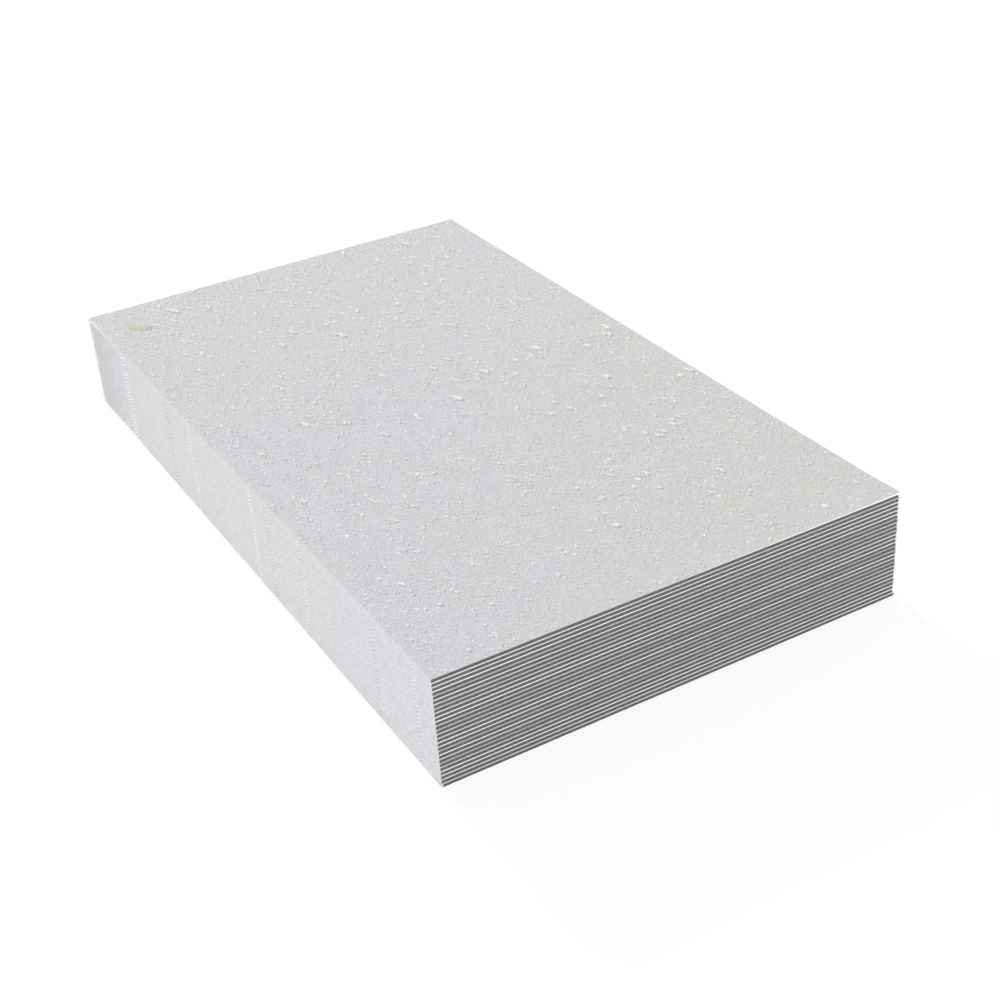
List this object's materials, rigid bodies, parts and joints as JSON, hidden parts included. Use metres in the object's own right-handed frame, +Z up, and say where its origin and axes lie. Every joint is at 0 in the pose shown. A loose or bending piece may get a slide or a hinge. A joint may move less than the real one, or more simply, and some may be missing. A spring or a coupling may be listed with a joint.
{
  "type": "stack of ceiling panels",
  "caption": "Flush stack of thin ceiling panels, each a dark core with a white nubbly facing that wraps both long edges, sawn flush at the short ends.",
  "frame": {"origin": "centre of the stack's underside, on the floor", "axes": "+X across the panels, +Y along the panels, +Z up, out of the top facing"},
  "size_m": [0.6016, 1.0502, 0.139],
  "materials": {
    "core": "dark grey cement-bonded wood fibre, sawn, matt",
    "facing": "white mineral facing, matt, finely grained with scattered nibs"
  },
  "bodies": {
    "root": {"core_01": "core", "facing_01": "facing", "core_02": "core", "facing_02": "facing", "core_03": "core", "facing_03": "facing", "core_04": "core", "facing_04": "facing", "core_05": "core", "facing_05": "facing", "core_06": "core", "facing_06": "facing", "core_07": "core", "facing_07": "facing", "core_08": "core", "facing_08": "facing", "core_09": "core", "facing_09": "facing", "core_10": "core", "facing_10": "facing", "core_11": "core", "facing_11": "facing", "core_12": "core", "facing_12": "facing", "core_13": "core", "facing_13": "facing", "core_14": "core", "facing_14": "facing", "core_15": "core", "facing_15": "facing", "core_16": "core", "facing_16": "facing", "core_17": "core", "facing_17": "facing", "core_18": "core", "facing_18": "facing", "core_19": "core", "facing_19": "facing", "core_20": "core", "facing_20": "facing", "core_21": "core", "facing_21": "facing", "core_22": "core", "facing_22": "facing", "core_23": "core", "facing_23": "facing", "core_24": "core", "facing_24": "facing", "core_25": "core", "facing_25": "facing", "core_26": "core", "facing_26": "facing"}
  },
  "joints": []
}
